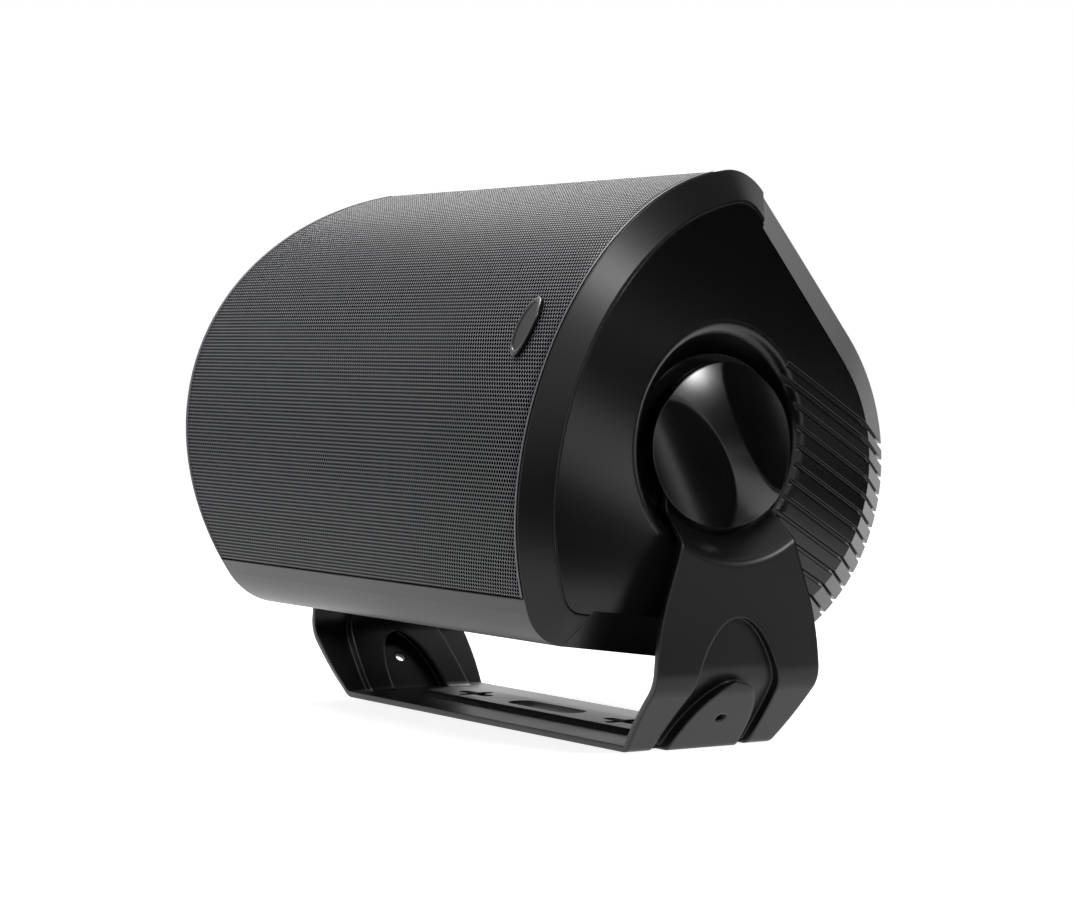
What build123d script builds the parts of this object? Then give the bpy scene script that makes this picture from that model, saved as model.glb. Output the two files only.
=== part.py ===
"""Outdoor loudspeaker on a U bracket, in millimetres, +Z up.

X runs along the tilt pivot, the front faces -Y, and the bracket stands on z = 0.
The cabinet is drawn level about its pivot, with y as depth and z as height of the
section, and is then turned back to the rest tilt and lifted to the pivot height.
"""
import os
from math import atan, cos, degrees, hypot, pi, radians, sin, sqrt
from build123d import *

os.makedirs("parts", exist_ok=True)

# Placing of the cabinet on its bracket
pivot_height = 114.5
rest_tilt = 28.0

# Cabinet section: one broad front arc, corner arcs, leaning walls and a rear arc
front_radius = 112.0
front_reach = 93.0
corner_radius = 24.0
wall_lean = radians(20.0)
rear_radius = 74.0
rear_reach = 94.5
seam_depth = -23.2

# Cabinet ends: bowed across the height and tapered towards the rear
end_half = 148.0
end_station = -82.0
end_taper = 0.22
bow_radius = 400.0
band_width = 12.5
band_rise = 6.0
band_land = 0.8
rear_bevel_width = 15.0
rear_bevel_rise = 8.0

# Walls and joints of the two mouldings
wall = 4.5
parting = 0.4
panel_thickness = 5.0
end_wall = 9.5
reach_all = 400.0

# Baffle with its drivers
baffle_setback = 33.0
baffle_front = baffle_setback - front_reach
baffle_thickness = 6.0
window_half = 72.0
window_inset = 13.0
woofer_x = 42.0
tweeter_x = -77.0
woofer_hole = 57.0
tweeter_hole = 29.0

# Grille and badge
grille_half = 88.0
grille_sheet = 1.2
grille_gap = 0.4
badge_x = 121.0
badge_long = 24.0
badge_wide = 11.0
badge_thickness = 1.3

# Pivot: dish, boss, insert, washer, knob and stud
dish_inset = 30.5
dish_floor = end_half - dish_inset
dish_radius = 34.0
dish_slope = 1.7
dish_lip = 6.0
boss_radius = 57.0
boss_thickness = 11.5
boss_inner = dish_floor - boss_thickness
hub_radius = 11.0
hub_length = 19.5
hub_inner = dish_floor - hub_length
insert_radius = 6.0
stud_radius = 3.8
stud_clearance = 0.4
washer_inner = 8.0
washer_outer = 20.0
washer_thickness = 1.6
running_gap = 0.4

# Bracket sheet
sheet = 2.5
arm_inset = 11.5
lean_run = 26.5
arm_face = end_half - arm_inset
base_corner = arm_face - lean_run
bend_height = 26.5
foot_radius = 6.0
lean_radius = 13.0
joggle_inner = 33.0
joggle_outer = 43.0
joggle_radius = 4.0
neck_half = 23.2
half_width = 60.0
bead_half = 13.0
bead_rise = 2.0
bead_length = 170.0

# Pressed arch and raised gusset on each lower bend, as half-ellipses seen from the end
press_wide = 21.8
press_tall = 51.0
press_depth = 3.5
gusset_wide = 15.5
gusset_tall = 27.0
gusset_rise = 1.2
arm_split = 62.0

# Holes of the bracket
side_hole_radius = 2.2
side_hole_height = 13.5
center_slot = (50.0, 12.0)
cross_slot = (24.0, 5.0)
cross_slot_across = 16.0
cross_slot_x = 57.0

# Ribs moulded round the rear
groove_count = 10
groove_pitch = 6.5
groove_width = 1.6
groove_depth = 1.5
border_levels = (35.0, 40.4)
border_width = 2.2
border_depth = 2.4
rib_start = 12.0


def outline(inset=0.0):
    """Section of the cabinet, all arcs and walls tangent."""
    front = Vector(front_radius - front_reach, 0)
    rear = Vector(rear_reach - rear_radius, 0)
    side = Vector(sin(wall_lean), cos(wall_lean))
    slope = side.X / side.Y
    rise = (rear_radius - corner_radius - (front.X - rear.X) * side.X) / side.Y
    turn = 1 + slope ** 2
    span = (rise * slope) ** 2 - turn * (rise ** 2 - (front_radius - corner_radius) ** 2)
    shift = (rise * slope - sqrt(span)) / turn
    center = Vector(front.X + shift, rise - slope * shift)
    away = (center - front).normalized()
    corner = front + away * front_radius
    middle = center + (away + side).normalized() * corner_radius
    seam = center + side * corner_radius
    touch = rear + side * rear_radius
    low = [Vector(p.X, -p.Y) for p in (corner, middle, seam, touch)]
    edges = [
        ThreePointArc(low[0], (-front_reach, 0), corner),
        ThreePointArc(corner, middle, seam),
        Line(seam, touch),
        ThreePointArc(touch, (rear_reach, 0), low[3]),
        Line(low[3], low[2]),
        ThreePointArc(low[2], low[1], low[0]),
    ]
    face = make_face(Curve() + edges)
    return offset(face, amount=-inset, kind=Kind.INTERSECTION) if inset else face


def prism(inset=0.0):
    return extrude(Plane.YZ * outline(inset), amount=reach_all / 2, both=True)


def ends(step=0.0):
    """Solid between the two bowed end surfaces, each moved in by step."""
    barrel = Rot(90, 0, 0) * Cylinder(bow_radius, 3 * reach_all)
    barrel = Rot(0, 0, degrees(atan(end_taper))) * (Pos(-bow_radius, 0, 0) * barrel)
    barrel = Pos(end_half - step, end_station, 0) * barrel
    return barrel & mirror(barrel, about=Plane.YZ)


def slab(front, back):
    return Pos(0, (front + back) / 2, 0) * Box(reach_all, back - front, reach_all)


def bevelled(inset, step, rise, width):
    """Whole cabinet block with its end edges bevelled."""
    block = prism(inset) & ends(step)
    for pick in (-1, 0):
        face = block.faces().sort_by(Axis.X)[pick]
        block = chamfer(face.edges(), length=width, length2=rise, reference=face)
    return block


def both_ends(piece):
    return piece + mirror(piece, about=Plane.YZ)


def rod(radius, low, high, depth=0.0, height=0.0):
    """Round bar along X."""
    bar = Rot(0, 90, 0) * Cylinder(radius, high - low)
    return Pos((low + high) / 2, depth, height) * bar


def plug(radius, front, back, x=0.0, height=0.0):
    """Round bar along the depth of the cabinet."""
    bar = Rot(90, 0, 0) * Cylinder(radius, back - front)
    return Pos(x, (front + back) / 2, height) * bar


def turned(points, x=0.0):
    """Solid of revolution about a depth axis, from (radius, depth) points."""
    return Pos(x, 0, 0) * revolve(make_face(Polyline(*points, close=True)), Axis.Y)


def ring(inner, outer, front, back, x=0.0):
    return turned([(inner, front), (outer, front), (outer, back), (inner, back)], x)


def spun(points):
    """Solid of revolution about X, from (x, radius) points."""
    return revolve(make_face(Polyline(*points, close=True)), Axis.X)


def place(piece):
    return Pos(0, 0, pivot_height) * (Rot(-rest_tilt, 0, 0) * piece)


def keep(piece, name):
    piece.label = name
    export_step(piece, "parts/" + name + ".step")


# Rear cabinet: a deep moulded shell whose end panels reach forward inside the front band,
# with a dish and boss for each knob and ribs wrapped round the ends and the rear
seam_back = seam_depth + parting / 2
seam_front = seam_depth - parting / 2
rear = bevelled(0, 0, rear_bevel_rise, rear_bevel_width) & slab(seam_back, reach_all / 2)
rear = rear - (prism(wall) & ends(end_wall) & slab(seam_depth - wall, reach_all / 2))
panel = (prism(band_width + parting) & ends() & slab(-reach_all / 2, seam_back)) - ends(panel_thickness)
rear = rear + panel
dish_height = 50.0
dish = spun([
    (dish_floor, 0),
    (dish_floor, dish_radius),
    (dish_floor + dish_height, dish_radius + dish_height / dish_slope),
    (dish_floor + dish_height, 0),
])


def on_lip(edge):
    for part_way in (0.1, 0.5, 0.9):
        point = edge @ part_way
        reach = hypot(point.Y, point.Z)
        if reach < dish_radius + 0.5 or abs(point.X - dish_floor - (reach - dish_radius) * dish_slope) > 0.05:
            return False
    return True


boss = (rod(boss_radius, boss_inner, reach_all / 2) & prism(band_width + parting) & ends()) - dish
boss = fillet([edge for edge in boss.edges() if on_lip(edge)], dish_lip)
hub = rod(hub_radius, hub_inner, dish_floor) - rod(insert_radius, hub_inner, dish_floor)
boss = boss - rod(hub_radius, hub_inner, dish_floor) + hub
rear = rear - both_ends(rod(boss_radius, boss_inner, reach_all / 2)) + both_ends(boss)
groove_levels = [(index - (groove_count - 1) / 2) * groove_pitch for index in range(groove_count)]
edge_levels = [side * level for side in (-1, 1) for level in border_levels]
for levels, width, depth in ((groove_levels, groove_width, groove_depth), (edge_levels, border_width, border_depth)):
    core = bevelled(depth, depth, rear_bevel_rise, rear_bevel_width)
    for level in levels:
        groove = Pos(0, rib_start + reach_all / 2, level) * Box(reach_all, reach_all, width)
        rear = rear - (groove - core)

# Posts inside the rear cabinet for the baffle screws and the filter board
post_x = 70.0
post_height = 64.0
post_radius = 5.0
post_points = [(x, z) for x in (-post_x, post_x) for z in (-post_height, post_height)]
post_root = (wall + border_depth) / 2
screw_shank = 2.0
for x, z in post_points:
    rear = rear + (plug(post_radius, baffle_front + baffle_thickness, rear_reach, x, z) & prism(post_root))
    rear = rear - plug(screw_shank, baffle_front, baffle_front + 30, x, z)
board_x = -64.0
board_long = 60.0
board_tall = 54.0
board_depth = 54.0
board_thickness = 1.6
board_posts = [(board_x + sx * (board_long / 2 - 5), sz * (board_tall / 2 - 5)) for sx in (-1, 1) for sz in (-1, 1)]
for x, z in board_posts:
    rear = rear + (plug(3.5, board_depth + board_thickness, rear_reach, x, z) & prism(post_root))

# Opening for the terminal cup
cup_x = 45.0
cup_long = 54.0
cup_tall = 38.0
cup_front = 70.0
cup_wall = 2.4
cup_block = Pos(cup_x, (cup_front + rear_reach) / 2, 0) * Box(cup_long, rear_reach - cup_front, cup_tall)
rear = rear - Pos(0, wall, 0) * cup_block
keep(place(rear), "rear_cabinet")

# Front frame: end bands, long trims and the baffle in one moulding
frame = bevelled(0, 0, band_rise, band_width - band_land) & slab(-reach_all / 2, seam_front)
frame = frame - (prism(band_width) - ends(panel_thickness + parting))
frame_inner = panel_thickness + parting + wall
frame = frame - (prism(wall) & ends(frame_inner) & slab(-reach_all / 2, seam_depth))
baffle_back = baffle_front + baffle_thickness
frame = frame + (prism(wall / 2) & ends(frame_inner - wall / 2) & slab(baffle_front, baffle_back))
frame = frame - both_ends(rod(boss_radius + parting, boss_inner - 2 * parting, reach_all / 2))
window = ends(window_inset) & slab(-reach_all / 2, baffle_front) & Box(reach_all, reach_all, 2 * window_half)
frame = frame - window
arc_center = front_radius - front_reach
bed = rod(front_radius + 5, -reach_all / 2, reach_all / 2, arc_center)
bed = bed - rod(front_radius - grille_sheet, -reach_all / 2, reach_all / 2, arc_center)
bed = bed & slab(-reach_all / 2, 0) & Box(reach_all, reach_all, 2 * grille_half) & ends(band_rise + band_land)
frame = frame - bed
frame = frame - plug(woofer_hole, baffle_front - 5, baffle_back + 5, woofer_x)
frame = frame - plug(tweeter_hole, baffle_front - 5, baffle_back + 5, tweeter_x)
for x, z in post_points:
    frame = frame - plug(screw_shank, baffle_front - 1, baffle_back + 1, x, z)
keep(place(frame), "front_frame")

# Grille: a bent perforated sheet lying flush in its bed
grille = rod(front_radius, -reach_all / 2, reach_all / 2, arc_center)
grille = grille - rod(front_radius - grille_sheet, -reach_all / 2, reach_all / 2, arc_center)
grille = grille & slab(-reach_all / 2, 0) & Box(reach_all, reach_all, 2 * (grille_half - grille_gap))
grille = grille & ends(band_rise + band_land + grille_gap)
keep(place(grille), "grille")

# Badge: a blank oval plate bent to the grille
badge = Plane.XZ * Ellipse(badge_wide / 2, badge_long / 2)
badge = Pos(badge_x, 0, 0) * extrude(badge, amount=front_reach + 10)
badge = badge & (rod(front_radius + badge_thickness, 0, reach_all / 2, arc_center) - rod(front_radius, 0, reach_all / 2, arc_center))
keep(place(badge), "badge")

# Seal strip round the inside of the parting line
seal_thickness = 2.0
seal_half = 4.0
seal = prism(wall) - prism(wall + seal_thickness)
seal = seal & slab(seam_depth - seal_half, seam_depth + seal_half) & ends(frame_inner + 1)
for x, z in post_points:
    seal = seal - plug(post_radius + 1, -80, 80, x, z)
keep(place(seal), "parting_seal")

# Woofer frame: flange on the baffle, open basket and a ring for the motor
flange_outer = 66.0
flange_thickness = 3.0
flange_front = baffle_front - flange_thickness
basket_depth = 38.0
basket_back = baffle_front + basket_depth
basket_floor = 3.0
basket_sheet = 1.6
basket_mouth = 51.0
basket_waist = baffle_front + 10.0
motor_outer = 36.0
floor_hole = 17.0
surround_ledge = baffle_front + 4.0
surround_ledge_inner = 49.4
spider_ledge = basket_back - 2.2
spider_ledge_inner = 33.0
floor_outer = motor_outer - basket_sheet
wall_slope = (basket_mouth - floor_outer) / (basket_back - basket_waist)
spider_ledge_outer = floor_outer + (basket_back - spider_ledge) * wall_slope
basket = turned([
    (basket_mouth, flange_front), (flange_outer, flange_front), (flange_outer, baffle_front),
    (woofer_hole - 0.5, baffle_front), (basket_mouth + 2, basket_waist), (motor_outer, basket_back),
    (motor_outer, basket_back + basket_floor), (floor_hole, basket_back + basket_floor), (floor_hole, basket_back),
    (spider_ledge_inner, basket_back), (spider_ledge_inner, spider_ledge), (spider_ledge_outer, spider_ledge),
    (surround_ledge_inner, basket_waist), (surround_ledge_inner, surround_ledge), (basket_mouth, surround_ledge),
], woofer_x)
vent_depth = baffle_front + 23.0
vent_long = 18.0
vent_wide = 34.0
for turn in range(4):
    vent = Rot(0, 45 + 90 * turn, 0) * (Pos(flange_outer * 0.7, vent_depth, 0) * Box(30, vent_long, vent_wide))
    basket = basket - Pos(woofer_x, 0, 0) * vent
keep(place(basket), "woofer_basket")

# Woofer motor: top plate, ring magnet and back plate with its pole
plate_thickness = 5.0
magnet_thickness = 16.0
gap_outer = 15.0
pole_radius = 12.0
top_front = basket_back + basket_floor
magnet_front = top_front + plate_thickness
back_front = magnet_front + magnet_thickness
keep(place(ring(gap_outer, motor_outer, top_front, magnet_front, woofer_x)), "woofer_top_plate")
keep(place(ring(floor_hole, motor_outer + 2, magnet_front, back_front, woofer_x)), "woofer_magnet")
back_plate = turned([
    (0, top_front), (pole_radius, top_front), (pole_radius, back_front), (motor_outer, back_front),
    (motor_outer, back_front + plate_thickness), (0, back_front + plate_thickness),
], woofer_x)
keep(place(back_plate), "woofer_back_plate")

# Woofer moving parts: cone, dust cap and voice coil
coil_inner = 13.0
coil_outer = 14.0
cone_neck = basket_back - 6.0
cone_mouth = surround_ledge - 1.0
cone_outer = 44.0
cone_sheet = 1.2
cone = turned([
    (coil_outer, cone_neck), (cone_outer, cone_mouth), (cone_outer, cone_mouth + cone_sheet), (coil_outer, cone_neck + 2 * cone_sheet),
], woofer_x)
keep(place(cone), "woofer_cone")
cap_edge = 18.0
cap_front = cone_neck + (cap_edge - coil_outer) * (cone_mouth - cone_neck) / (cone_outer - coil_outer)
cap_rise = 6.0
cap_sphere = (cap_edge ** 2 + cap_rise ** 2) / (2 * cap_rise)
cap = Pos(woofer_x, cap_front - cap_rise + cap_sphere, 0) * (Sphere(cap_sphere) - Sphere(cap_sphere - 1.0))
cap = cap & slab(-reach_all / 2, cap_front)
keep(place(cap), "woofer_dust_cap")
keep(place(ring(coil_inner, coil_outer, cone_neck, top_front + plate_thickness + 2, woofer_x)), "woofer_voice_coil")

# Woofer suspension: rolled surround and corrugated spider
surround_sheet = 1.0
roll_steps = 5
roll_center = (cone_outer + surround_ledge_inner) / 2
roll_radius = (surround_ledge_inner - cone_outer) / 2
roll_angles = [pi * step / roll_steps for step in range(roll_steps + 1)]
surround_front = surround_ledge - surround_sheet
surround_points = [(roll_center - roll_radius * cos(a), surround_front - roll_radius * sin(a)) for a in roll_angles]
surround_points.append((basket_mouth, surround_front))
surround_points += [(radius, depth + surround_sheet) for radius, depth in reversed(surround_points)]
keep(place(turned(surround_points, woofer_x)), "woofer_surround")
spider_sheet = 0.8
spider_waves = 6
spider_wave = 1.2
spider_pitch = (spider_ledge_inner - coil_outer) / spider_waves
spider_front = spider_ledge - spider_sheet
spider_points = [(coil_outer + spider_pitch * k, spider_front + spider_wave * (k % 2)) for k in range(spider_waves + 1)]
spider_points.append((spider_ledge_outer - 0.2, spider_front))
spider_points += [(radius, depth + spider_sheet) for radius, depth in reversed(spider_points)]
keep(place(turned(spider_points, woofer_x)), "woofer_spider")

# Tweeter: faceplate with a shallow horn, motor can and moving dome
plate_outer = 38.0
dome_radius = 12.5
horn_mouth = 24.0
horn_throat = dome_radius + 1.5
horn_depth = 4.0
faceplate = turned([
    (horn_mouth, flange_front), (plate_outer, flange_front), (plate_outer, baffle_front), (tweeter_hole - 1, baffle_front),
    (tweeter_hole - 1, baffle_front + horn_depth), (horn_throat, baffle_front + horn_depth), (horn_throat, baffle_front + 1),
], tweeter_x)
keep(place(faceplate), "tweeter_faceplate")
can_front = baffle_front + horn_depth
keep(place(turned([
    (0, can_front + 8), (horn_throat, can_front + 8), (horn_throat, can_front), (27, can_front), (27, can_front + 24), (0, can_front + 24),
], tweeter_x)), "tweeter_motor")
dome_rise = 5.0
dome_sphere = (dome_radius ** 2 + dome_rise ** 2) / (2 * dome_rise)
dome_edge = baffle_front + 3.0
dome = Pos(tweeter_x, dome_edge - dome_rise + dome_sphere, 0) * (Sphere(dome_sphere) - Sphere(dome_sphere - 0.8))
dome = (dome & slab(-reach_all / 2, dome_edge)) + ring(dome_radius - 1.2, dome_radius, dome_edge - 0.6, dome_edge + 5, tweeter_x)
dome = dome + ring(dome_radius - 1.2, horn_throat, dome_edge - 0.6, dome_edge, tweeter_x)
keep(place(dome), "tweeter_dome")

# Driver and baffle screws, heads only where they show
screw_ring = 61.0
head_radius = 3.4
head_height = 2.2
woofer_screws = Part()
for turn in range(4):
    x = woofer_x + screw_ring * cos(pi / 4 + turn * pi / 2)
    z = screw_ring * sin(pi / 4 + turn * pi / 2)
    woofer_screws = woofer_screws + plug(head_radius, flange_front - head_height, flange_front, x, z)
keep(place(woofer_screws), "woofer_screws")
tweeter_screws = Part()
for turn in range(3):
    x = tweeter_x + 33 * cos(turn * 2 * pi / 3)
    z = 33 * sin(turn * 2 * pi / 3)
    tweeter_screws = tweeter_screws + plug(head_radius - 0.8, flange_front - head_height, flange_front, x, z)
keep(place(tweeter_screws), "tweeter_screws")
baffle_screws = Part()
for x, z in post_points:
    baffle_screws = baffle_screws + plug(head_radius, baffle_front - head_height, baffle_front, x, z)
    baffle_screws = baffle_screws + plug(screw_shank, baffle_front, baffle_front + 24, x, z)
keep(place(baffle_screws), "baffle_screws")

# Filter board with its coil, capacitors and resistor
board = Pos(board_x, board_depth + board_thickness / 2, 0) * Box(board_long, board_thickness, board_tall)
keep(place(board), "filter_board")
keep(place(ring(6, 14, board_depth - 14, board_depth, board_x - 12)), "filter_coil")
capacitor = rod(6, board_x + 5, board_x + 27, board_depth - 6, 12) + rod(6, board_x + 5, board_x + 27, board_depth - 6, -4)
keep(place(capacitor), "filter_capacitors")
resistor = Pos(board_x + 14, board_depth - 4, -19) * Box(24, 8, 8)
keep(place(resistor), "filter_resistor")

# Damping wad behind the woofer
wad_x = 28.0
wad_long = 110.0
wad_deep = 30.0
wad_tall = 92.0
wad_clearance = 1.0
wad = Pos(wad_x, cup_front - wad_deep / 2, 0) * Box(wad_long, wad_deep, wad_tall)
keep(place(wad & prism(wall + wad_clearance)), "damping_wad")

# Terminal cup with two binding posts and their caps
cup_hollow = Pos(cup_x, (cup_front + cup_wall + reach_all) / 2, 0) * Box(
    cup_long - 2 * cup_wall, reach_all - cup_front - cup_wall, cup_tall - 2 * cup_wall)
cup = (cup_block & prism()) - cup_hollow
cup_floor = cup_front + cup_wall
post_spread = 13.0
binding_radius = 2.6
cap_radius = 5.5
cap_gap = 0.4
for side, name in ((-1, "positive"), (1, "negative")):
    x = cup_x + side * post_spread
    post = plug(binding_radius, cup_floor, cup_floor + 15, x) + plug(4.5, cup_floor, cup_floor + 1.6, x)
    keep(place(post), "binding_post_" + name)
    nut = plug(cap_radius, cup_floor + 2, cup_floor + 13, x) - plug(binding_radius + cap_gap, cup_floor, cup_floor + 20, x)
    for turn in range(8):
        nick = Rot(0, 45 * turn, 0) * (Pos(cap_radius, cup_floor + 8.5, 0) * Box(1.2, 10, 1.6))
        nut = nut - Pos(x, 0, 0) * nick
    keep(place(nut), "binding_cap_" + name)
keep(place(cup), "terminal_cup")

# Pivot hardware on each end: brass insert, friction washer, steel stud and domed knob
arm_neck = dish_floor + washer_thickness + running_gap + sheet
knob_back = arm_neck + running_gap
knob_radius = 31.0
knob_rim = knob_back + 5.4
knob_edge = 3.2
clamp_radius = 19.0
knob_dome = 5.4
ridge_angle = 62.0
scoop_radius = 36.0
scoop_offset = 25.0
scoop_depth = 2.6
stud_tip = hub_inner + 2
insert_bore = stud_radius + stud_clearance
dome_sweep = (knob_radius ** 2 + knob_dome ** 2) / (2 * knob_dome)
dome_half = knob_radius / 2
dome_level = knob_rim + knob_dome - dome_sweep + sqrt(dome_sweep ** 2 - dome_half ** 2)
knob_line = Polyline(
    (knob_rim + knob_dome, 0), (knob_back, 0), (knob_back, clamp_radius), (knob_rim - knob_edge, knob_radius), (knob_rim, knob_radius))
dome_line = ThreePointArc((knob_rim, knob_radius), (dome_level, dome_half), (knob_rim + knob_dome, 0))
knob = revolve(make_face(Curve() + [knob_line, dome_line]), Axis.X)
knob_fixed = ridge_angle - rest_tilt
for side in (-1, 1):
    scoop = Pos(knob_rim + scoop_radius - scoop_depth, scoop_offset * side, 0) * Cylinder(scoop_radius, 100)
    knob = knob - Rot(90 - knob_fixed, 0, 0) * scoop
knob = knob - rod(stud_radius, knob_back, knob_rim)
insert = rod(insert_radius, hub_inner, dish_floor) - rod(insert_bore, hub_inner, dish_floor)
washer = rod(washer_outer, dish_floor, dish_floor + washer_thickness) - rod(washer_inner, dish_floor, dish_floor + washer_thickness)
stud = rod(stud_radius, stud_tip, knob_rim)
for name, piece in (("pivot_insert", insert), ("friction_washer", washer), ("pivot_stud", stud), ("pivot_knob", knob)):
    keep(place(piece), name + "_right")
    keep(place(mirror(piece, about=Plane.YZ)), name + "_left")


def block(points, rounding=()):
    """Solid across the whole sheet width, from (x, z) points and (point, radius) roundings."""
    face = make_face(Polyline(*points, close=True))
    for point, radius in rounding:
        face = fillet(face.vertices().sort_by_distance(Vector(*point))[0], radius)
    return extrude(Plane.XZ * face, amount=half_width, both=True)


def oval(wide, tall):
    """Bar along X with an elliptical section centred on the ground line."""
    return extrude(Plane.YZ * Ellipse(wide, tall), amount=reach_all / 2)


def above(level):
    return Pos(0, 0, level) * Box(reach_all, reach_all, reach_all, align=(Align.CENTER, Align.CENTER, Align.MIN))


def beyond(face):
    return Pos(face, 0, 0) * Box(reach_all, reach_all, reach_all, align=(Align.MIN, Align.CENTER, Align.CENTER))


# Bracket: one sheet, made as the space behind its outer skin less the space behind its inner skin.
# A move in and up by the same share keeps the thickness on the arm and on the lean alike
top = pivot_height + neck_half
lean_turn = atan(bend_height / lean_run)
lift = (1 - cos(lean_turn)) / sin(lean_turn)
foot = (base_corner, 0)
knee = (arm_face, bend_height)
behind = block([(0, 0), foot, knee, (arm_face, top), (0, top)], [(foot, foot_radius), (knee, lean_radius)])


def moved_in(piece, depth):
    return Pos(-depth, 0, depth * lift) * piece


# Arch pressed in across the lower bend, and inside it a gusset raised a little above the sheet
pressed = moved_in(behind, press_depth)
raised = moved_in(behind, -gusset_rise) & above(0)


def skin(spread):
    """Space behind one skin, with the arch wider and the gusset narrower by the spread."""
    arch = oval(press_wide + spread, press_tall + spread) & beyond(base_corner - foot_radius - spread)
    gusset = oval(gusset_wide - spread, gusset_tall - spread)
    return (behind - (arch - pressed)) + (gusset & raised)


outer_skin = skin(0)
lower = (outer_skin - moved_in(skin(sheet), sheet)) & above(0)
lower = (lower - above(arm_split)) + (outer_skin - above(sheet))

# Upper arm with its neck pressed in round the pivot
joggle_reach = joggle_outer + 2 * (joggle_outer - joggle_inner)
joggle_top = arm_face + 2 * joggle_radius
joggle_face = make_face(Polyline(
    (arm_neck, 0), (arm_neck, joggle_inner), (arm_face, joggle_outer), (arm_face, joggle_reach),
    (joggle_top, joggle_reach), (joggle_top, 0), close=True))
for corner_point in ((arm_neck, joggle_inner), (arm_face, joggle_outer)):
    joggle_face = fillet(joggle_face.vertices().sort_by_distance(Vector(*corner_point))[0], joggle_radius)
joggle = Pos(0, 0, pivot_height) * revolve(joggle_face, Axis.X)
neck = behind - joggle
upper = (neck - Pos(-sheet, 0, 0) * neck) & above(arm_split)
strip = lower + upper
arm_edge = [(32.4, 0), (36.4, 28), (35.4, 41), (32.7, 55), (25.4, 78.5), (neck_half, 92), (neck_half, pivot_height)]
side_line = Spline(*arm_edge)
crown = ThreePointArc(arm_edge[-1], (0, top), (-neck_half, pivot_height))
other_line = Spline(*[(-y, z) for y, z in arm_edge[::-1]])
shape = make_face(Curve() + [side_line, crown, other_line, Line(other_line @ 1, side_line @ 0)])
strip = strip & extrude(Plane.YZ * shape, amount=reach_all / 2)
side_hole = Rot(0, degrees(lean_turn), 0) * rod(side_hole_radius, -10, 10)
side_hole_x = base_corner + side_hole_height / bend_height * lean_run
strip = strip - Pos(side_hole_x, 0, side_hole_height) * side_hole
strip = strip - rod(stud_radius + stud_clearance, dish_floor, knob_rim, 0, pivot_height)
bracket = strip + mirror(strip, about=Plane.YZ)

# Raised bead along the base with the middle slot and two crossed slots
bead = Pos(0, 0, (sheet + bead_rise) / 2) * Box(bead_length, 2 * bead_half, sheet + bead_rise)
bead = fillet(bead.edges().filter_by(Axis.Z), 8)
bead = chamfer(bead.faces().sort_by(Axis.Z)[-1].edges(), bead_rise * 0.9)
under = Pos(0, 0, bead_rise / 2) * Box(bead_length - 2 * sheet, 2 * bead_half - 2 * sheet, bead_rise)
bracket = bracket + bead - under
slot = extrude(SlotOverall(*center_slot), amount=sheet + bead_rise + 1)
for x in (-cross_slot_x, cross_slot_x):
    slot = slot + Pos(x, 0, 0) * extrude(SlotOverall(*cross_slot), amount=sheet + bead_rise + 1)
    slot = slot + Pos(x, 0, 0) * (Rot(0, 0, 90) * extrude(SlotOverall(cross_slot_across, cross_slot[1]), amount=sheet + bead_rise + 1))
bracket = bracket - slot
keep(bracket, "mounting_bracket")
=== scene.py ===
"""Outdoor loudspeaker tilting in a U bracket, dressed for the studio.

The object is put together from the bracket up: bracket, rear cabinet and front frame, grille,
badge, clamp knobs, woofer spider and the small pieces. Studio and camera come last.
"""
from math import asin, cos, radians, sin

import bpy
import numpy as np
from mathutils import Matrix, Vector


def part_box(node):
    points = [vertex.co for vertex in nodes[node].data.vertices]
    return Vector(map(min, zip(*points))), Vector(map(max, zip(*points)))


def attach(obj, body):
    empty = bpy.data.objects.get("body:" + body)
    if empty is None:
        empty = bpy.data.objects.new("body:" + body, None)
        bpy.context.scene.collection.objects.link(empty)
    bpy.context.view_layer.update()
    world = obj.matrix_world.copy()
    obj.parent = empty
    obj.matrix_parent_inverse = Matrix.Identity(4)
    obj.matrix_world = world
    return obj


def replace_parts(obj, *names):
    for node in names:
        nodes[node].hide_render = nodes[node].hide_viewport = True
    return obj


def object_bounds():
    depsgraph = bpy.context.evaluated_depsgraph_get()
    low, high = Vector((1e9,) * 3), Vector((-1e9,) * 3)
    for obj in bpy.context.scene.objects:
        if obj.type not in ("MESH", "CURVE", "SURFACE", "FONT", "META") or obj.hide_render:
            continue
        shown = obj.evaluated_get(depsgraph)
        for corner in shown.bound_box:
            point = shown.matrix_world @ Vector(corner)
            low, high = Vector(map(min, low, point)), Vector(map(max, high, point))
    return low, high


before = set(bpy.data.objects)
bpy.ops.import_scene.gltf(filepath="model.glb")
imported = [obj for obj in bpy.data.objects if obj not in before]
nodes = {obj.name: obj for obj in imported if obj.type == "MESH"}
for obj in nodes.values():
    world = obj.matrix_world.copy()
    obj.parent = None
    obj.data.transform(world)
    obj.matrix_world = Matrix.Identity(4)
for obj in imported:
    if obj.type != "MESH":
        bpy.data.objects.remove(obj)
cad_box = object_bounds()

# Mounting bracket. One strip of steel sheet, pressed and bent to a U, then powder coated
# in satin black, which leaves a faint orange peel that breaks up reflections.
MM = 0.001
sheet_edge = 1.4 * MM
peel_size = 1.6 * MM
peel_height = 0.02 * MM
coat_drift = 40 * MM


def linear(code):
    """An sRGB hex colour as linear red, green and blue, with alpha 1."""
    parts = [int(code[at:at + 2], 16) / 255 for at in (0, 2, 4)]
    return [p / 12.92 if p <= 0.04045 else ((p + 0.055) / 1.055) ** 2.4 for p in parts] + [1.0]


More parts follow.
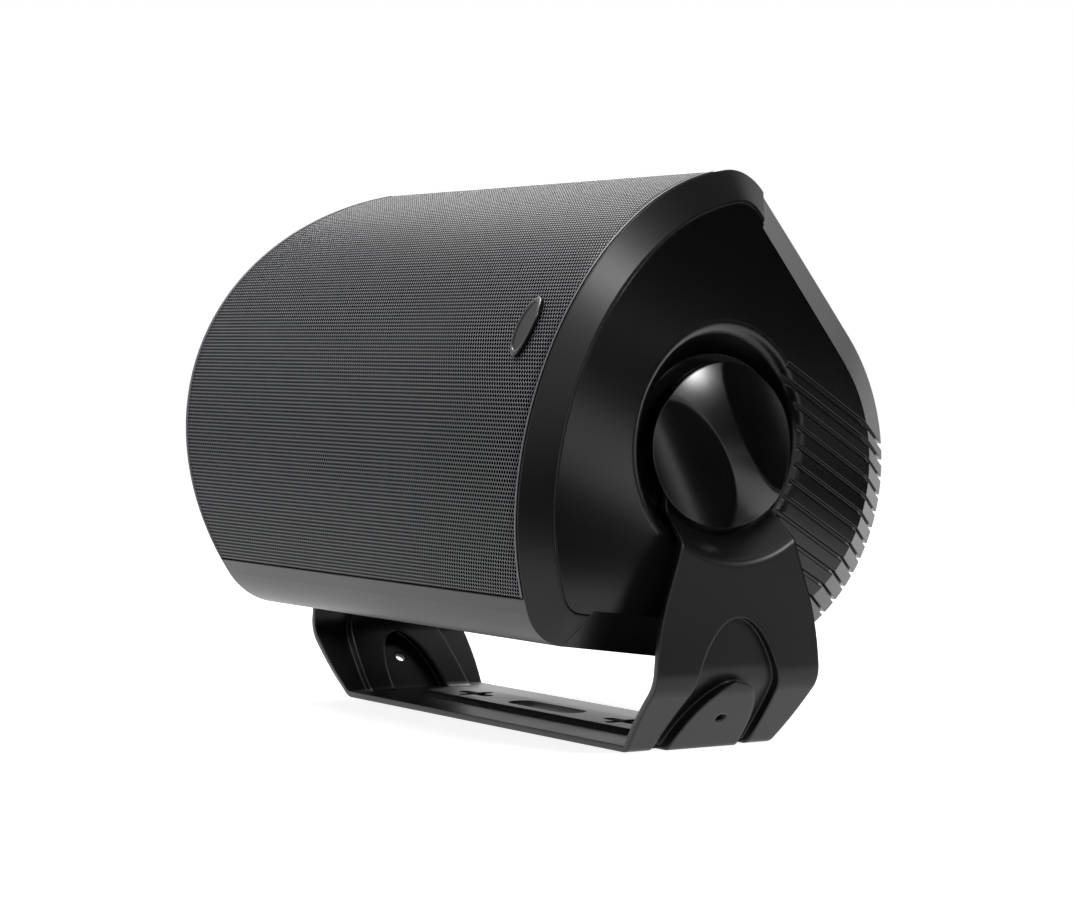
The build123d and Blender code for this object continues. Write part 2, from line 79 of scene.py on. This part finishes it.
def add(tree, kind, inputs=None, **settings):
    """One node with its settings, each input either a value or another node's output."""
    node = tree.nodes.new(kind)
    for name, value in settings.items():
        setattr(node, name, value)
    for name, value in (inputs or {}).items():
        if isinstance(value, bpy.types.NodeSocket):
            tree.links.new(value, node.inputs[name])
        else:
            node.inputs[name].default_value = value
    return node


def new_finish(name, code, roughness, metallic=0.0, shine=0.5):
    """A material with one principled shader, ready for its pattern nodes."""
    material = bpy.data.materials.new(name)
    material.use_nodes = True
    tree = material.node_tree
    shader = tree.nodes["Principled BSDF"]
    shader.inputs["Base Color"].default_value = linear(code)
    shader.inputs["Roughness"].default_value = roughness
    shader.inputs["Metallic"].default_value = metallic
    shader.inputs["Specular IOR Level"].default_value = shine
    return material, tree, shader


def dress(material, *names):
    """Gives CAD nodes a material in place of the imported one."""
    for name in names:
        mesh = nodes[name].data
        mesh.materials.clear()
        mesh.materials.append(material)


powder_coat, tree, shader = new_finish("satin powder coat on steel", "0b0b0c", 0.36, shine=0.4)
spot = add(tree, "ShaderNodeTexCoord").outputs["Object"]
edge = add(tree, "ShaderNodeBevel", {"Radius": sheet_edge}, samples=8)
peel = add(tree, "ShaderNodeTexNoise", {"Vector": spot, "Scale": 1 / peel_size, "Detail": 2.0})
lumps = add(tree, "ShaderNodeBump", {
    "Height": peel.outputs["Fac"], "Strength": 0.5, "Distance": peel_height,
    "Normal": edge.outputs["Normal"]})
cloud = add(tree, "ShaderNodeTexNoise", {"Vector": spot, "Scale": 1 / coat_drift, "Detail": 3.0})
sheen = add(tree, "ShaderNodeMapRange", {"Value": cloud.outputs["Fac"], "To Min": 0.3, "To Max": 0.42})
tree.links.new(lumps.outputs["Normal"], shader.inputs["Normal"])
tree.links.new(sheen.outputs["Result"], shader.inputs["Roughness"])
dress(powder_coat, "mounting_bracket")

# Rear cabinet and front frame. Both are injection moulded in black ABS. A fine spark-eroded
# skin in the tool gives the frame its satin look, and the cabinet shines a little more.
# The grain is drawn coarser than a real one, so that it shows.
mould_edge = 0.6 * MM
skin_grain = 0.5 * MM
skin_height = 0.012 * MM
mould_flow = 55 * MM


def moulded(name, code, shine, smoothest, dullest):
    """Moulded plastic: softened edges, a fine skin and gloss that drifts along the flow."""
    finish, tree, shader = new_finish(name, code, smoothest, shine=shine)
    spot = add(tree, "ShaderNodeTexCoord").outputs["Object"]
    edge = add(tree, "ShaderNodeBevel", {"Radius": mould_edge}, samples=8)
    grain = add(tree, "ShaderNodeTexNoise", {"Vector": spot, "Scale": 1 / skin_grain, "Detail": 3.0})
    skin = add(tree, "ShaderNodeBump", {
        "Height": grain.outputs["Fac"], "Strength": 0.5, "Distance": skin_height,
        "Normal": edge.outputs["Normal"]})
    flow = add(tree, "ShaderNodeTexNoise", {"Vector": spot, "Scale": 1 / mould_flow, "Detail": 2.0})
    gloss = add(tree, "ShaderNodeMapRange", {
        "Value": flow.outputs["Fac"], "To Min": smoothest, "To Max": dullest})
    tree.links.new(skin.outputs["Normal"], shader.inputs["Normal"])
    tree.links.new(gloss.outputs["Result"], shader.inputs["Roughness"])
    return finish


cabinet_abs = moulded("semi-gloss moulded ABS", "060607", 0.35, 0.2, 0.28)
frame_abs = moulded("satin moulded ABS", "060607", 0.32, 0.32, 0.4)
dress(cabinet_abs, "rear_cabinet", "terminal_cup", "tweeter_faceplate")
dress(frame_abs, "front_frame")

# Grille. Steel sheet with close round holes in staggered rows, rolled to the front arc and
# powder coated in dark grey. It lies flush in its bed in the front frame.
pivot_height = 114.5 * MM
rest_tilt = radians(28.0)
front_radius = 112 * MM
front_reach = 93 * MM
end_half = 148 * MM
end_station = -82 * MM
end_taper = 0.22
bow_radius = 400 * MM
grille_half = 87.6 * MM
grille_step = 7.2 * MM
grille_sheet = 1.2 * MM
arc_rows = 97
run_columns = 49


def to_row(x, depth, height):
    """Points of the level cabinet, turned back by the rest tilt and lifted to the pivot."""
    y = depth * cos(rest_tilt) + height * sin(rest_tilt)
    z = pivot_height - depth * sin(rest_tilt) + height * cos(rest_tilt)
    return np.stack([x, y, z], axis=-1)


def end_at(depth, height, step):
    """Half length of the cabinet: a barrel of the bow radius leaning in by the taper."""
    bow = bow_radius - np.sqrt(bow_radius ** 2 - height ** 2)
    return end_half - step - end_taper * (depth - end_station) - bow * np.hypot(1, end_taper)


def grid_faces(rows, columns, closed=False):
    """Quads over a grid of points, row by row, joined round the columns if closed."""
    row = np.arange(rows - 1)[:, None] * columns
    column = np.arange(columns if closed else columns - 1)[None, :]
    after = (column + 1) % columns
    corners = [row + column, row + after, row + columns + after, row + columns + column]
    return np.stack(corners, axis=-1).reshape(-1, 4).tolist()


def surface(name, points, faces, uv=None):
    """A smooth mesh object from an array of points and lists of corners, with an optional UV map."""
    mesh = bpy.data.meshes.new(name)
    mesh.from_pydata(points.reshape(-1, 3).tolist(), [], faces)
    mesh.polygons.foreach_set("use_smooth", np.ones(len(mesh.polygons), bool))
    if uv is not None:
        layer = mesh.uv_layers.new(name="UVMap")
        loops = np.zeros(len(mesh.loops), np.int32)
        mesh.loops.foreach_get("vertex_index", loops)
        layer.data.foreach_set("uv", uv.reshape(-1, 2)[loops].ravel())
    mesh.validate()
    piece = bpy.data.objects.new(name, mesh)
    bpy.context.scene.collection.objects.link(piece)
    return piece


# The sheet is an arc about the front radius, carried along the cabinet between its bowed ends.
sweep = asin(grille_half / front_radius)
arc = np.linspace(-sweep, sweep, arc_rows)
turn, across = np.meshgrid(arc, np.linspace(-1, 1, run_columns), indexing="ij")
depth = front_radius - front_reach - front_radius * np.cos(turn)
height = front_radius * np.sin(turn)
run = across * end_at(depth, height, grille_step)
flat = np.stack([run, front_radius * turn], axis=-1)
sheet_faces = grid_faces(arc_rows, run_columns)
grille = surface("perforated_grille", to_row(run, depth, height), sheet_faces, flat)
sheet = grille.modifiers.new("sheet", "SOLIDIFY")
sheet.thickness = grille_sheet
sheet.offset = -1

# The holes follow the sheet's flat length and arc. The holes are not cut: each one is painted near
# black with no shine, as painted shade of the opening, between dull grey bars. The eye gets a fine
# dark mesh that pales towards a flat angle.
hole_pitch = 1.75 * MM
row_share = sin(radians(60))
hole_share = 0.43
hole_blur = 0.03
lip_height = 0.2 * MM
bar_shine = 0.5
bar_grey = "55565a"
perforated, tree, shader = new_finish("powder coated perforated steel, holes painted as shade", bar_grey, 0.42)
flat_spot = add(tree, "ShaderNodeTexCoord").outputs["UV"]
cells = add(tree, "ShaderNodeVectorMath", {
    0: flat_spot, 1: (1 / hole_pitch, 1 / (row_share * hole_pitch), 0.0)}, operation="MULTIPLY")
parts = add(tree, "ShaderNodeSeparateXYZ", {0: cells.outputs["Vector"]})
row = add(tree, "ShaderNodeMath", {0: parts.outputs["Y"]}, operation="FLOOR")
shift = add(tree, "ShaderNodeMath", {
    0: row.outputs["Value"], 1: 0.5, 2: parts.outputs["X"]}, operation="MULTIPLY_ADD")
stagger = add(tree, "ShaderNodeCombineXYZ", {"X": shift.outputs["Value"], "Y": parts.outputs["Y"]})
cell = add(tree, "ShaderNodeVectorMath", {0: stagger.outputs["Vector"]}, operation="FRACTION")
centred = add(tree, "ShaderNodeVectorMath", {
    0: cell.outputs["Vector"], 1: (0.5, 0.5, 0.0)}, operation="SUBTRACT")
offset = add(tree, "ShaderNodeVectorMath", {
    0: centred.outputs["Vector"], 1: (1.0, row_share, 0.0)}, operation="MULTIPLY")
reach = add(tree, "ShaderNodeVectorMath", {0: offset.outputs["Vector"]}, operation="LENGTH")
solid = add(tree, "ShaderNodeMapRange", {
    "Value": reach.outputs["Value"], "From Min": hole_share - hole_blur,
    "From Max": hole_share + hole_blur}, interpolation_type="SMOOTHSTEP")
# Grey on the bars, near black in the holes: the black is painted shade of the openings.
bars_and_hole_shade = add(tree, "ShaderNodeMix", {
    "Factor": solid.outputs["Result"], "A": linear("010101"), "B": linear(bar_grey)}, data_type="RGBA")
bare = add(tree, "ShaderNodeMath", {0: solid.outputs["Result"], 1: bar_shine}, operation="MULTIPLY")
lip = add(tree, "ShaderNodeBump", {
    "Height": solid.outputs["Result"], "Strength": 0.6, "Distance": lip_height})
tree.links.new(bars_and_hole_shade.outputs["Result"], shader.inputs["Base Color"])
tree.links.new(bare.outputs["Value"], shader.inputs["Specular IOR Level"])
tree.links.new(lip.outputs["Normal"], shader.inputs["Normal"])
grille.data.materials.append(perforated)
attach(grille, "cabinet")
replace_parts(grille, "grille")

# Grille ends. Each end of the sheet is rolled to a narrow hem, which shows as a pale line. Beside
# it, on the joint between the hem and the band of the frame, lies a thin near-black strip with
# almost no shine. The strip is painted shade of the gap there and shows as a dark line.
hem_inset = 0.55 * MM
hem_half = 0.5 * MM
hem_rise = 0.35 * MM
gap_shade_inset = -0.35 * MM
gap_shade_half = 0.4 * MM
gap_shade_rise = 0.2 * MM
bead_sides = 12
grain_height = 0.02 * MM


def grained(name, code, roughness, metallic, grain_mm, shine=0.5):
    """A plain finish with a fine grain of a real size."""
    finish, tree, shader = new_finish(name, code, roughness, metallic, shine)
    spot = add(tree, "ShaderNodeTexCoord").outputs["Object"]
    grain = add(tree, "ShaderNodeTexNoise", {
        "Vector": spot, "Scale": 1 / (grain_mm * MM), "Detail": 2.0})
    skin = add(tree, "ShaderNodeBump", {
        "Height": grain.outputs["Fac"], "Strength": 0.3, "Distance": grain_height})
    tree.links.new(skin.outputs["Normal"], shader.inputs["Normal"])
    return finish


def fan(middle_point, ring, outward):
    """Triangles from one point to a closed ring of points."""
    after = np.roll(ring, -1)
    order = [after, ring] if outward else [ring, after]
    return np.stack([np.full(len(ring), middle_point)] + order, axis=-1).tolist()


def end_bead(name, side, inset, half, rise, finish):
    """An ellipse carried along the front arc at one end of the grille, closed at both tips."""
    turn = arc[:, None]
    over = -side * np.linspace(0, 2 * np.pi, bead_sides, endpoint=False)[None, :]
    radius = front_radius + rise * np.sin(over)
    depth = front_radius - front_reach - radius * np.cos(turn)
    height = radius * np.sin(turn)
    run = end_at(depth, height, grille_step + inset) + half * np.cos(over)
    rings = to_row(side * run, depth, height)
    tips = rings[[0, -1]].mean(axis=1)
    ring = np.arange(bead_sides)
    count = arc_rows * bead_sides
    faces = grid_faces(arc_rows, bead_sides, closed=True) + fan(count, ring, True)
    faces += fan(count + 1, count - bead_sides + ring, False)
    bead = surface(name, np.concatenate([rings.reshape(-1, 3), tips]), faces)
    bead.data.materials.append(finish)
    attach(bead, "cabinet")


hem_coat = grained("powder coated hem", bar_grey, 0.42, 0.0, 1.6)
# Near black with almost no shine: painted shade of the gap between hem and band.
painted_gap_shade = grained("black strip of painted gap shade", "030303", 0.9, 0.0, 0.6, shine=0.05)
end_bead("grille_hem_right", 1, hem_inset, hem_half, hem_rise, hem_coat)
end_bead("grille_hem_left", -1, hem_inset, hem_half, hem_rise, hem_coat)
# Strips of painted shade along the joints at both ends.
end_bead("grille_gap_shade_right", 1, gap_shade_inset, gap_shade_half, gap_shade_rise, painted_gap_shade)
end_bead("grille_gap_shade_left", -1, gap_shade_inset, gap_shade_half, gap_shade_rise, painted_gap_shade)

# Badge. A small oval plate moulded in black and glued to the grille, curved as the grille is.
# Its face is plain and a little glossy, and a raised rim catches the light round it.
badge_x = 121 * MM
badge_long = 24 * MM
badge_wide = 11 * MM
badge_rise = 1.3 * MM
rim_half = 0.55 * MM
rim_flatness = 0.8
rim_columns = 96
rim_sides = 12
badge_plate, tree, shader = new_finish("gloss moulded plate", "08080a", 0.3, shine=0.25)
spot = add(tree, "ShaderNodeTexCoord").outputs["Object"]
grain = add(tree, "ShaderNodeTexNoise", {"Vector": spot, "Scale": 1 / skin_grain})
skin = add(tree, "ShaderNodeBump", {
    "Height": grain.outputs["Fac"], "Strength": 0.2, "Distance": skin_height})
tree.links.new(skin.outputs["Normal"], shader.inputs["Normal"])
dress(badge_plate, "badge")

# The rim is a flattened ring round the oval, wrapped to the front radius.
around = np.linspace(0, 2 * np.pi, rim_columns, endpoint=False)[None, :]
over = np.linspace(0, 2 * np.pi, rim_sides, endpoint=False)[:, None]
share = 1 - rim_half * (1 - np.cos(over)) / (badge_wide / 2)
rim_x = badge_x + badge_wide / 2 * share * np.cos(around)
rim_turn = badge_long / 2 * share * np.sin(around) / front_radius
rim_radius = front_radius + badge_rise + rim_half * rim_flatness * np.sin(over)
rim_depth = front_radius - front_reach - rim_radius * np.cos(rim_turn)
rim_points = to_row(rim_x, rim_depth, rim_radius * np.sin(rim_turn))
rim_faces = np.array(grid_faces(rim_sides + 1, rim_columns, closed=True)) % (rim_sides * rim_columns)
rim = surface("badge_rim", rim_points, rim_faces.tolist())
rim.data.materials.append(grained("gloss moulded rim", "1b1b1d", 0.2, 0.0, 0.5))
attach(rim, "cabinet")

# Clamp knobs. Two-scoop domes moulded in black nylon with a polished tool, so they shine
# more than the cabinet. Each turns on a steel stud, and a broad ridge between its scoops
# is the grip.
ridge_angle = radians(62.0)
knob_wall = 3.2 * MM
knob_dome = 5.4 * MM
knob_round = 0.35 * MM
clamp_radius = 19 * MM
scoop_radius = 36 * MM
scoop_offset = 27.4 * MM
scoop_depth = 2.6 * MM
ridge_edge = 0.6 * MM
pole_gap = 0.3 * MM
crease = radians(40)
knob_columns = 240
dome_rows = 84
round_rows = 6
knob_flow = 25 * MM
polished_nylon, tree, shader = new_finish("polished moulded nylon", "060607", 0.22)
spot = add(tree, "ShaderNodeTexCoord").outputs["Object"]
grain = add(tree, "ShaderNodeTexNoise", {"Vector": spot, "Scale": 1 / skin_grain, "Detail": 2.0})
skin = add(tree, "ShaderNodeBump", {
    "Height": grain.outputs["Fac"], "Strength": 0.2, "Distance": skin_height})
flow = add(tree, "ShaderNodeTexNoise", {"Vector": spot, "Scale": 1 / knob_flow, "Detail": 2.0})
gloss = add(tree, "ShaderNodeMapRange", {"Value": flow.outputs["Fac"], "To Min": 0.18, "To Max": 0.28})
tree.links.new(skin.outputs["Normal"], shader.inputs["Normal"])
tree.links.new(gloss.outputs["Result"], shader.inputs["Roughness"])


def knob_top(radius, across, full):
    """Level over the rim: a sphere cap cut by two cylinders along the ridge, with soft edges."""
    sphere = (full ** 2 + knob_dome ** 2) / (2 * knob_dome)
    cap = knob_dome - sphere + np.sqrt(sphere ** 2 - radius ** 2)
    beside = np.abs(across) - scoop_offset
    scoop = scoop_radius - scoop_depth - np.sqrt(scoop_radius ** 2 - beside ** 2)
    nearness = np.clip(1 - np.abs(cap - scoop) / ridge_edge, 0, 1)
    return np.minimum(cap, scoop) - ridge_edge * nearness ** 2 / 4


def turned_knob(node, name, body, side):
    """Rings round the pivot: dome rows, a rounded rim, the wall, the cone to the clamp face."""
    low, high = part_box(node)
    full = (high[2] - low[2]) / 2
    top, back = (high[0], low[0]) if side > 0 else (-low[0], -high[0])
    rim = top - knob_dome
    turn = side * np.linspace(0, 2 * np.pi, knob_columns, endpoint=False)[None, :]
    radius = np.linspace(pole_gap, full - knob_round, dome_rows)[:, None]
    dome = rim + knob_top(radius, radius * np.sin(turn), full)
    bend = np.linspace(0, np.pi / 2, round_rows + 1)[1:, None]
    round_radius = full - knob_round * (1 - np.sin(bend))
    rounded = dome[-1:] - knob_round * (1 - np.cos(bend))
    lower = np.array([[full, rim - knob_wall], [clamp_radius, back], [pole_gap, back]])
    radii = np.concatenate([radius, round_radius, lower[:, :1]])
    levels = np.concatenate([dome, rounded, np.repeat(lower[:, 1:], knob_columns, axis=1)])
    along = radii * np.cos(turn)
    across = radii * np.sin(turn)
    y = across * sin(ridge_angle) - along * cos(ridge_angle)
    z = pivot_height + across * cos(ridge_angle) + along * sin(ridge_angle)
    rings = np.stack([side * levels, y, z], axis=-1)
    poles = np.array([[side * top, 0, pivot_height], [side * back, 0, pivot_height]])
    ring = np.arange(knob_columns)
    count = radii.size * knob_columns
    faces = grid_faces(radii.size, knob_columns, closed=True) + fan(count, ring, True)
    faces += fan(count + 1, count - knob_columns + ring, False)
    knob = surface(name, np.concatenate([rings.reshape(-1, 3), poles]), faces)
    knob.data.set_sharp_from_angle(angle=crease)
    knob.data.materials.append(polished_nylon)
    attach(knob, body)
    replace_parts(knob, node)


turned_knob("pivot_knob_right", "grip_knob_right", "knob_right", 1)
turned_knob("pivot_knob_left", "grip_knob_left", "knob_left", -1)

# Woofer spider. A disc of stiffened cloth pressed into rings of waves. Its collar is glued
# to the voice coil and moves with it, and the rest is glued to the ledge of the basket.
woofer_x = 42 * MM
coil_radius = 14 * MM
collar_edge = 15.9 * MM
ring_inner = 16.2 * MM
ledge_inner = 33 * MM
ring_outer = 35.5 * MM
spider_front = -25 * MM
spider_sheet = 0.8 * MM
spider_wave = 1.2 * MM
spider_waves = 6
spider_rows = 41
spider_columns = 144
spider_cloth = grained("stiffened cloth", "b98f4a", 0.85, 0.0, 0.8)


def waved_ring(name, inner, outer, body):
    """A sheet turned round the woofer's axis: cosine waves from coil to ledge, flat beyond."""
    radius = np.linspace(outer, inner, spider_rows)
    way = np.clip((radius - coil_radius) / (ledge_inner - coil_radius), 0, 1)
    front = spider_front + spider_wave * (1 - np.cos(np.pi * spider_waves * way)) / 2
    radii = np.concatenate([radius, radius[::-1]])[:, None]
    turn = np.linspace(0, 2 * np.pi, spider_columns, endpoint=False)[None, :]
    depth = np.concatenate([front, front[::-1] + spider_sheet])[:, None] * np.ones_like(turn)
    points = to_row(woofer_x + radii * np.cos(turn), depth, radii * np.sin(turn))
    faces = np.array(grid_faces(radii.size + 1, spider_columns, closed=True)) % depth.size
    cloth = surface(name, points, faces.tolist())
    cloth.data.materials.append(spider_cloth)
    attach(cloth, body)
    return cloth


waved_ring("spider_collar", coil_radius, collar_edge, "woofer_diaphragm")
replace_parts(waved_ring("spider_ring", ring_inner, ring_outer, "cabinet"), "woofer_spider")

# Hidden and small pieces. Each keeps its CAD shape and takes the finish of its material:
# colour, roughness, metallic and a grain in millimetres, drawn as coarse as it needs to show.
small_finishes = {
    "black rubber": ("0b0b0b", 0.7, 0.0, 0.8, (
        "parting_seal", "woofer_surround", "friction_washer_left", "friction_washer_right")),
    "painted pressed steel": ("161617", 0.45, 0.0, 1.2, ("woofer_basket",)),
    "zinc plated steel": ("a9abae", 0.35, 1.0, 0.6, (
        "woofer_top_plate", "woofer_back_plate", "tweeter_motor", "woofer_screws",
        "tweeter_screws", "baffle_screws", "pivot_stud_left", "pivot_stud_right")),
    "sintered ferrite": ("2b2b2d", 0.6, 0.0, 0.7, ("woofer_magnet",)),
    "moulded cone": ("141414", 0.6, 0.0, 0.9, ("woofer_cone", "woofer_dust_cap")),
    "enamelled copper wire": ("a5592a", 0.35, 1.0, 0.4, ("woofer_voice_coil", "filter_coil")),
    "formed film": ("6a6b70", 0.25, 0.0, 0.6, ("tweeter_dome",)),
    "paper laminate": ("7a5a2c", 0.6, 0.0, 1.5, ("filter_board",)),
    "plastic sleeve": ("1f3f78", 0.3, 0.0, 1.0, ("filter_capacitors",)),
    "white ceramic": ("d9d8d0", 0.75, 0.0, 0.5, ("filter_resistor",)),
    "loose white fibre": ("dcdbd6", 0.95, 0.0, 2.0, ("damping_wad",)),
    "bright brass": ("c79a4b", 0.25, 1.0, 0.5, (
        "binding_post_positive", "binding_post_negative", "pivot_insert_left", "pivot_insert_right")),
    "red moulded cap": ("9c1414", 0.35, 0.0, 0.5, ("binding_cap_positive",)),
    "black moulded cap": ("0f0f10", 0.35, 0.0, 0.5, ("binding_cap_negative",)),
}
for name, (code, roughness, metallic, grain_mm, members) in small_finishes.items():
    dress(grained(name, code, roughness, metallic, grain_mm), *members)

# Studio. A pale floor under a white surround, three soft boxes for the light, and black
# flags that keep the ends of the cabinet and the bracket deep black. The flags show in
# reflections only.
floor_half = 4.0
floor_share = 0.5
floor_glow = 1.72
fill_light = 0.35
scene = bpy.context.scene
scene.view_settings.view_transform = "Standard"
middle = (cad_box[0] + cad_box[1]) / 2
square = np.array([[-1, -1, 0], [1, -1, 0], [1, 1, 0], [-1, 1, 0]])


def shown_rays(tree):
    """One for a ray from the eye, direct, mirrored or through glass, and nought for the rest."""
    rays = add(tree, "ShaderNodeLightPath").outputs
    seen = add(tree, "ShaderNodeMath", {
        0: rays["Is Camera Ray"], 1: rays["Is Glossy Ray"]}, operation="MAXIMUM")
    shown = add(tree, "ShaderNodeMath", {
        0: seen.outputs["Value"], 1: rays["Is Transmission Ray"]}, operation="MAXIMUM")
    return shown.outputs["Value"]


floor = surface("floor", square * floor_half, [[0, 1, 2, 3]])
floor_paint = bpy.data.materials.new("white studio floor")
floor_paint.use_nodes = True
tree = floor_paint.node_tree
tree.nodes.clear()
part = add(tree, "ShaderNodeMath", {0: shown_rays(tree), 1: floor_share}, operation="MULTIPLY")
paint = add(tree, "ShaderNodeBsdfDiffuse", {"Color": linear("f4f4f4")})
white = add(tree, "ShaderNodeEmission", {"Color": linear("ffffff"), "Strength": floor_glow})
blend = add(tree, "ShaderNodeMixShader", {
    0: part.outputs["Value"], 1: paint.outputs["BSDF"], 2: white.outputs["Emission"]})
add(tree, "ShaderNodeOutputMaterial", {"Surface": blend.outputs["Shader"]})
floor.data.materials.append(floor_paint)

world = bpy.data.worlds.new("white surround")
world.use_nodes = True
scene.world = world
tree = world.node_tree
tree.nodes.clear()
level = add(tree, "ShaderNodeMapRange", {
    "Value": shown_rays(tree), "To Min": fill_light, "To Max": 1.0})
surround = add(tree, "ShaderNodeBackground", {
    "Color": linear("ffffff"), "Strength": level.outputs["Result"]})
add(tree, "ShaderNodeOutputWorld", {"Surface": surround.outputs["Background"]})


def soft_box(name, place, size, power):
    """A square area lamp at a place round the object, turned to its middle."""
    lamp = bpy.data.lights.new(name, "AREA")
    lamp.size = size
    lamp.energy = power
    holder = bpy.data.objects.new(name, lamp)
    holder.location = middle + Vector(place)
    holder.rotation_euler = (-Vector(place)).to_track_quat("-Z", "Y").to_euler()
    holder.visible_camera = False
    scene.collection.objects.link(holder)


soft_box("top soft box", (-0.5, -0.3, 1.4), 0.8, 30)
soft_box("back soft box", (-1.25, 0.6, 0.8), 0.7, 7)
soft_box("knob soft box", (1.2, 0.36, 0.72), 0.22, 9)

black_cloth = new_finish("black flag cloth", "020202", 1.0, shine=0.0)[0]
flag_lift = 0.01
low_flag = flag_lift - middle.z
up = (0, 0, 1)


def flag(name, place, width, height, facing=None):
    """A black cloth on a frame at a place round the object, turned to its middle or as told."""
    corners = square * np.array([width, height, 0]) / 2
    facing = (Vector(facing) if facing else -Vector(place)).to_track_quat("Z", "Y").to_matrix()
    corners = corners @ np.array(facing).T + np.array(middle + Vector(place))
    cloth = surface(name, corners, [[0, 1, 2, 3]])
    cloth.data.materials.append(black_cloth)
    cloth.visible_camera = False
    cloth.visible_shadow = False
    cloth.visible_diffuse = False


flag("side flag", (1.0, 1.2, 0.75), 2.5, 2.4)
flag("rear flag", (-0.09, 1.69, 0.3), 0.6, 0.8)
flag("near low flag", (0.635, -0.03, low_flag), 0.87, 0.34, facing=up)
flag("far low flag", (0.55, 0.72, low_flag), 0.75, 0.78, facing=up)

# Camera. A short telephoto a little above the pivot, looking at the front and the right end
# as the photograph does, with no shift and no blur.
image_width = 1074
focal_pixels = 3228.36
azimuth = radians(58.68)
pitch = radians(2.17)
sensor = 36.0
eye_rise = 0.04061
lens = bpy.data.cameras.new("camera")
lens.sensor_fit = "HORIZONTAL"
lens.sensor_width = sensor
lens.lens = focal_pixels / image_width * sensor
camera = bpy.data.objects.new("camera", lens)
camera.location = (1.11394, -0.68235, pivot_height + eye_rise)
ahead = Vector((-sin(azimuth) * cos(pitch), cos(azimuth) * cos(pitch), -sin(pitch)))
camera.rotation_euler = ahead.to_track_quat("-Z", "Y").to_euler()
scene.collection.objects.link(camera)
scene.camera = camera
